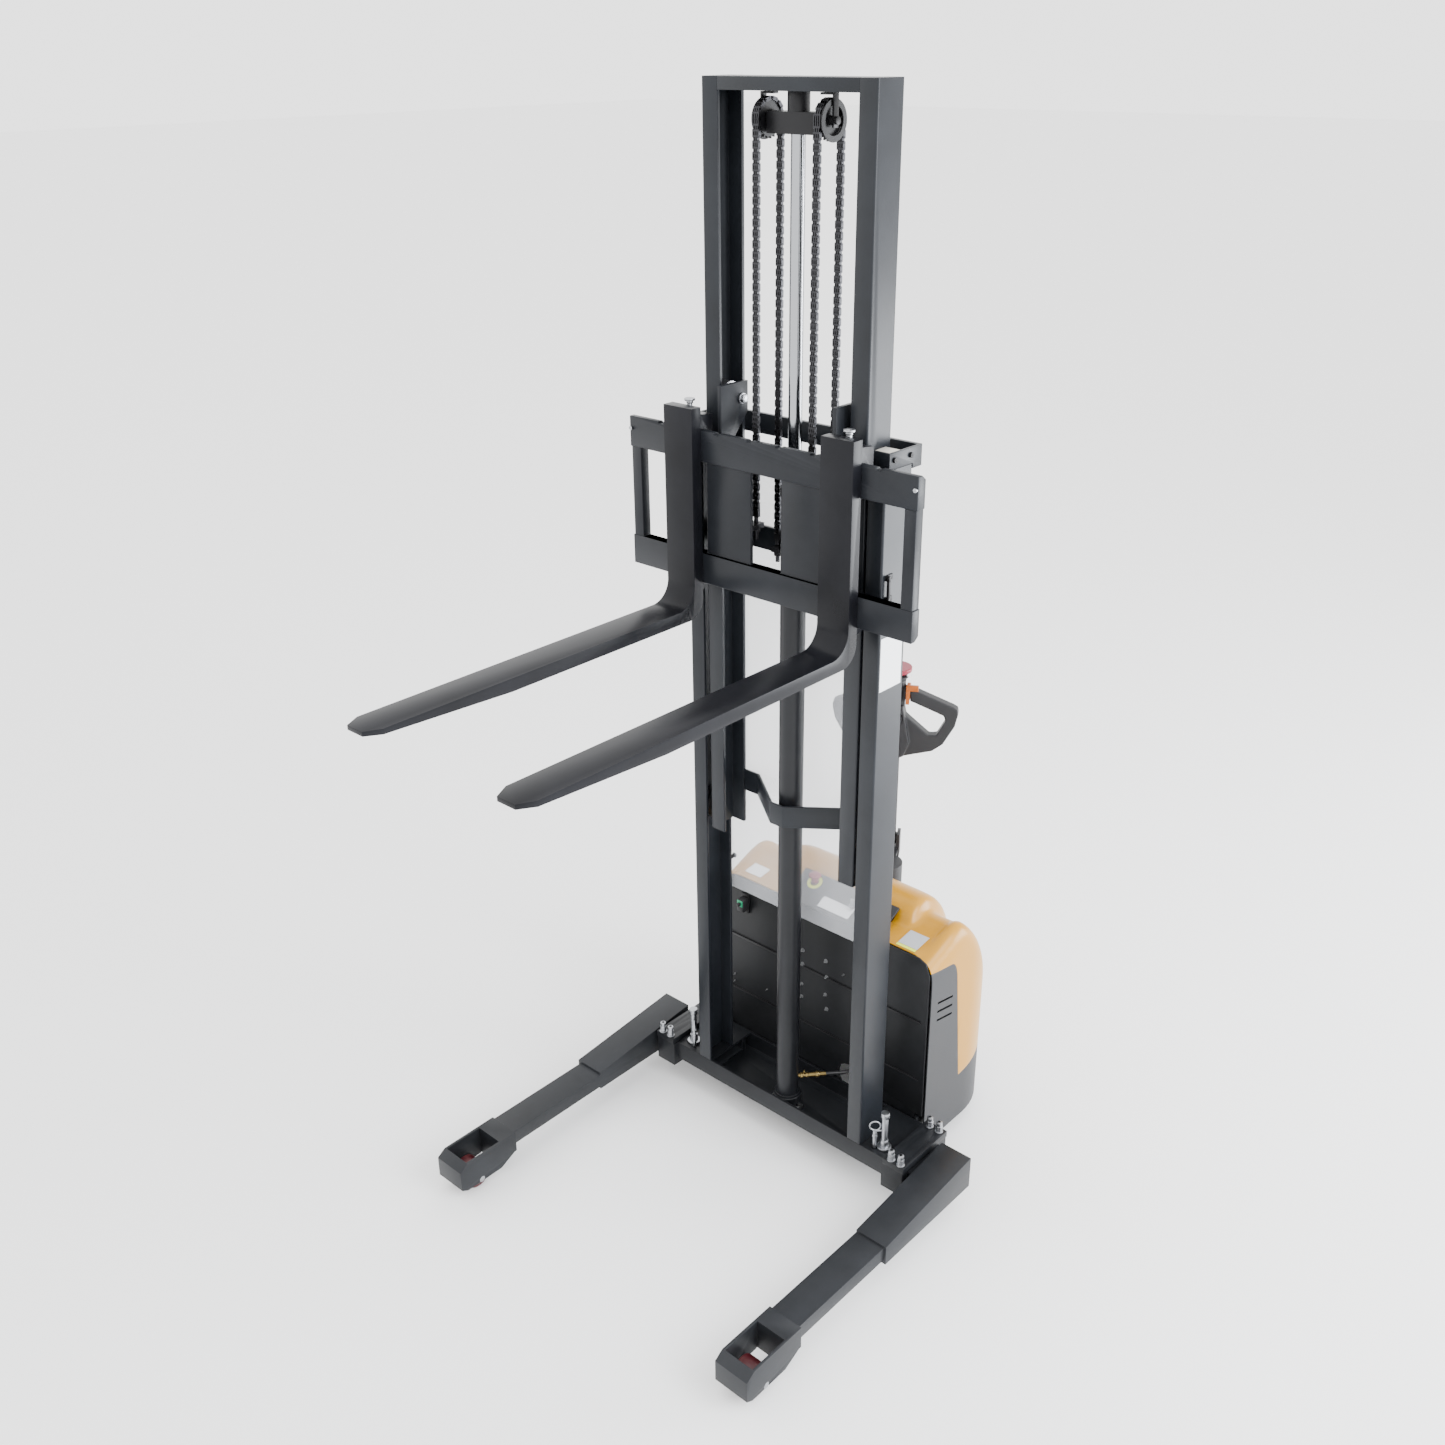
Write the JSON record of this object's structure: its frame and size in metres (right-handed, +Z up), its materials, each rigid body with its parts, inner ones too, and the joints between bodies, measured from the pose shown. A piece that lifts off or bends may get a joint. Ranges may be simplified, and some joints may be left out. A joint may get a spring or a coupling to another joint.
{
  "type": "electric straddle stacker",
  "caption": "Electric pedestrian straddle stacker with a two-stage chain-lift mast, hook-on forks, adjustable straddle legs, covered power unit and a tiller arm.",
  "frame": {"origin": "on the floor under the middle of the truck's bounding box, with the mast part raised", "axes": "+Z up, forks point along -Y, driver stands towards +Y, +X to the side of the right-hand leg as named"},
  "size_m": [1.25, 1.9214, 3.098],
  "materials": {
    "mast_steel": "semi-gloss blue-grey enamel",
    "fork_steel": "semi-gloss black enamel",
    "chrome_rod": "ground hard chrome",
    "zinc": "bright zinc",
    "chain_steel": "oiled blackened steel",
    "hood_yellow": "satin moulded yellow",
    "skirt_grey": "fine-grained grey plastic",
    "panel_black": "fine-grained black plastic",
    "guard_clear": "clear polycarbonate",
    "button_red": "glossy red",
    "throttle_orange": "glossy orange",
    "wheel_pu": "dark red polyurethane",
    "rubber_black": "matte black rubber",
    "cast_grey": "painted casting",
    "roller_steel": "turned steel",
    "brass": "bright brass",
    "battery_case": "moulded case",
    "pale_nylon": "natural nylon"
  },
  "bodies": {
    "root": {"base_frame": "mast_steel", "clamp_plates": "mast_steel", "chassis_bolts": "zinc", "outer_rails": "mast_steel", "outer_mast_tie": "mast_steel", "guide_pads": "pale_nylon", "chain_anchors": "chain_steel", "cylinder_tube": "mast_steel", "cylinder_fittings": "mast_steel", "hydraulic_hose": "rubber_black", "guard_sheet": "guard_clear", "front_plate": "panel_black", "lower_cover": "skirt_grey", "hood": "hood_yellow", "dash_panel": "panel_black", "battery": "battery_case", "hydraulic_power_pack": "cast_grey", "limit_switch": "panel_black", "rear_chains": "chain_steel"},
    "inner_mast": {"inner_rails": "mast_steel", "inner_cross_members": "mast_steel", "piston_rod": "chrome_rod", "crosshead": "panel_black", "chain_guards": "panel_black", "front_chains": "chain_steel"},
    "sprockets": {"chain_sprockets": "chain_steel"},
    "mast_rollers": {"mast_rollers": "roller_steel"},
    "carriage": {"carriage_frame": "mast_steel", "carriage_side_plates": "mast_steel", "carriage_anchors": "chain_steel"},
    "upper_rollers": {"carriage_rollers_upper": "roller_steel"},
    "lower_rollers": {"carriage_rollers_lower": "roller_steel"},
    "drive_unit": {"drive_gearbox": "cast_grey", "drive_motor": "cast_grey", "tiller_base": "panel_black"},
    "drive_wheel": {"drive_wheel": "rubber_black"},
    "tiller": {"tiller_arm": "panel_black", "tiller_head": "panel_black"},
    "butterfly": {"throttle_butterfly": "throttle_orange"},
    "belly_button": {"belly_button": "button_red"},
    "lift_rocker": {"lift_rocker": "panel_black"},
    "horn_button": {"horn_button": "button_red"},
    "emergency_stop": {"emergency_stop": "button_red"},
    "key_switch": {"key_switch": "zinc"},
    "leg_left": {"leg_left": "mast_steel", "load_axle_left": "zinc"},
    "load_wheel_left": {"load_wheel_left": "wheel_pu"},
    "lock_pin_left": {"lock_pin_left": "zinc"},
    "fork_left": {"fork_left": "fork_steel"},
    "fork_latch_left": {"fork_latch_left": "zinc"},
    "caster_fork_left": {"caster_fork_left": "zinc"},
    "caster_wheel_left": {"caster_wheel_left": "rubber_black"},
    "leg_right": {"leg_right": "mast_steel", "load_axle_right": "zinc"},
    "load_wheel_right": {"load_wheel_right": "wheel_pu"},
    "lock_pin_right": {"lock_pin_right": "zinc"},
    "fork_right": {"fork_right": "fork_steel"},
    "fork_latch_right": {"fork_latch_right": "zinc"},
    "caster_fork_right": {"caster_fork_right": "zinc"},
    "caster_wheel_right": {"caster_wheel_right": "rubber_black"}
  },
  "joints": [
    {"name": "mast_lift", "type": "slide", "parent": "root", "child": "inner_mast", "axis": [0, 0, 1], "range_m": [-0.843, 0.69], "deforming": ["rear_chains"]},
    {"name": "carriage_lift", "type": "slide", "parent": "inner_mast", "child": "carriage", "axis": [0, 0, 1], "range_m": [-0.843, 0.69], "deforming": ["front_chains"]},
    {"name": "sprocket_spin", "type": "hinge", "parent": "inner_mast", "child": "sprockets", "pos_m": [0, 0.27095, 3.005], "axis": [1, 0, 0], "range_deg": [-895, 1094]},
    {"name": "mast_roller_spin", "type": "hinge", "parent": "inner_mast", "child": "mast_rollers", "pos_m": [0, 0.27125, 1.085], "axis": [1, 0, 0], "range_deg": [-857, 1047]},
    {"name": "upper_roller_spin", "type": "hinge", "parent": "carriage", "child": "upper_rollers", "pos_m": [0, 0.27095, 2.322], "axis": [1, 0, 0], "range_deg": [-1242, 1017]},
    {"name": "lower_roller_spin", "type": "hinge", "parent": "carriage", "child": "lower_rollers", "pos_m": [0, 0.27095, 1.912], "axis": [1, 0, 0], "range_deg": [-1017, 1242]},
    {"name": "fork_shift_left", "type": "slide", "parent": "carriage", "child": "fork_left", "axis": [1, 0, 0], "range_m": [-0.15, 0.2]},
    {"name": "fork_latch_left_lift", "type": "slide", "parent": "fork_left", "child": "fork_latch_left", "axis": [0, 0, 1], "range_m": [0, 0.012], "stiffness_N_per_m": 800},
    {"name": "leg_width_left", "type": "slide", "parent": "root", "child": "leg_left", "axis": [-1, 0, 0], "range_m": [0, 0.08]},
    {"name": "load_wheel_spin_left", "type": "hinge", "parent": "leg_left", "child": "load_wheel_left", "pos_m": [-0.5685, -0.55475, 0.04], "axis": [1, 0, 0], "continuous": true},
    {"name": "lock_pin_left_lift", "type": "slide", "parent": "root", "child": "lock_pin_left", "axis": [0, 0, 1], "range_m": [0, 0.06]},
    {"name": "caster_swivel_left", "type": "hinge", "parent": "root", "child": "caster_fork_left", "pos_m": [-0.25, 0.71525, 0.25], "axis": [0, 0, 1], "continuous": true},
    {"name": "caster_spin_left", "type": "hinge", "parent": "caster_fork_left", "child": "caster_wheel_left", "pos_m": [-0.25, 0.74925, 0.0625], "axis": [1, 0, 0], "continuous": true},
    {"name": "fork_shift_right", "type": "slide", "parent": "carriage", "child": "fork_right", "axis": [1, 0, 0], "range_m": [-0.2, 0.15]},
    {"name": "fork_latch_right_lift", "type": "slide", "parent": "fork_right", "child": "fork_latch_right", "axis": [0, 0, 1], "range_m": [0, 0.012], "stiffness_N_per_m": 800},
    {"name": "leg_width_right", "type": "slide", "parent": "root", "child": "leg_right", "axis": [1, 0, 0], "range_m": [0, 0.08]},
    {"name": "load_wheel_spin_right", "type": "hinge", "parent": "leg_right", "child": "load_wheel_right", "pos_m": [0.5685, -0.55475, 0.04], "axis": [1, 0, 0], "continuous": true},
    {"name": "lock_pin_right_lift", "type": "slide", "parent": "root", "child": "lock_pin_right", "axis": [0, 0, 1], "range_m": [0, 0.06]},
    {"name": "caster_swivel_right", "type": "hinge", "parent": "root", "child": "caster_fork_right", "pos_m": [0.25, 0.71525, 0.25], "axis": [0, 0, 1], "continuous": true},
    {"name": "caster_spin_right", "type": "hinge", "parent": "caster_fork_right", "child": "caster_wheel_right", "pos_m": [0.25, 0.74925, 0.0625], "axis": [1, 0, 0], "continuous": true},
    {"name": "steer", "type": "hinge", "parent": "root", "child": "drive_unit", "pos_m": [0, 0.75225, 0.3], "axis": [0, 0, 1], "range_deg": [-120, 60]},
    {"name": "drive_spin", "type": "hinge", "parent": "drive_unit", "child": "drive_wheel", "pos_m": [0, 0.75225, 0.105], "axis": [0.866, 0.5, 0], "continuous": true},
    {"name": "tiller_tilt", "type": "hinge", "parent": "drive_unit", "child": "tiller", "pos_m": [-0.055, 0.84751, 0.806], "axis": [-0.866, -0.5, 0], "range_deg": [-8, 80], "stiffness_Nm_per_rad": 12, "springref_deg": -17.19},
    {"name": "throttle_turn", "type": "hinge", "parent": "tiller", "child": "butterfly", "pos_m": [-0.055, 0.84751, 1.33], "axis": [0.866, 0.5, 0], "range_deg": [-30, 30], "stiffness_Nm_per_rad": 0.8},
    {"name": "belly_press", "type": "slide", "parent": "tiller", "child": "belly_button", "axis": [0, 0, -1], "range_m": [0, 0.007], "stiffness_N_per_m": 900},
    {"name": "lift_rocker_tilt", "type": "hinge", "parent": "tiller", "child": "lift_rocker", "pos_m": [-0.041, 0.82326, 1.245], "axis": [0.866, 0.5, 0], "range_deg": [-4, 4], "stiffness_Nm_per_rad": 0.5},
    {"name": "horn_press", "type": "slide", "parent": "tiller", "child": "horn_button", "axis": [-0.5, 0.866, 0], "range_m": [0, 0.003], "stiffness_N_per_m": 500},
    {"name": "emergency_stop_press", "type": "slide", "parent": "root", "child": "emergency_stop", "axis": [0, 0, -1], "range_m": [0, 0.006]},
    {"name": "key_turn", "type": "hinge", "parent": "root", "child": "key_switch", "pos_m": [0.078, 0.47725, 0.76226], "axis": [0, 0, 1], "range_deg": [0, 90]}
  ],
  "couplings": [
    {"joint": "carriage_lift", "follows": "mast_lift", "ratio": 1},
    {"joint": "sprocket_spin", "follows": "mast_lift", "rad_per_m": -22.412},
    {"joint": "mast_roller_spin", "follows": "mast_lift", "rad_per_m": -21.459},
    {"joint": "upper_roller_spin", "follows": "mast_lift", "rad_per_m": 25.445},
    {"joint": "lower_roller_spin", "follows": "mast_lift", "rad_per_m": -25.445}
  ]
}
